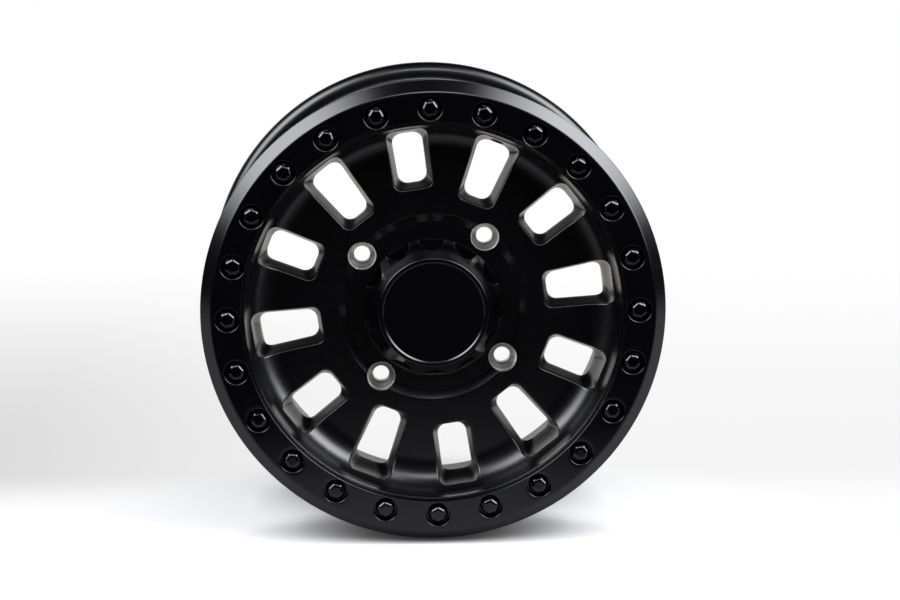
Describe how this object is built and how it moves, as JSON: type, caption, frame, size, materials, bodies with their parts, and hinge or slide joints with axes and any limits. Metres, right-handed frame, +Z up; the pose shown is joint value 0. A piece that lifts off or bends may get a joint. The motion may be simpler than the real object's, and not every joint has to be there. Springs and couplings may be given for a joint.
{
  "type": "beadlock wheel",
  "caption": "Black cast off-road wheel with a bolted clamp ring that locks the tyre's outer bead, a windowed dished face, conical lug seats and a fluted snap-in hub cap.",
  "frame": {"origin": "centre of the hub's mounting face", "axes": "+Y along the wheel's axis towards the vehicle, so the face looks to -Y; +Z up as it stands; +X to the right seen from the front"},
  "size_m": [0.4159, 0.2041, 0.416],
  "materials": {
    "casting_powder_coat": "satin-gloss black powder coat on cast aluminium, lug seats bare",
    "ring_powder_coat": "satin-gloss black powder coat on aluminium",
    "black_bolt_steel": "gloss black coated steel",
    "cap_moulding": "satin black moulded plastic"
  },
  "bodies": {
    "root": {"wheel_casting": "casting_powder_coat", "beadlock_ring": "ring_powder_coat", "ring_bolts": "black_bolt_steel", "centre_cap": "cap_moulding"}
  },
  "joints": []
}
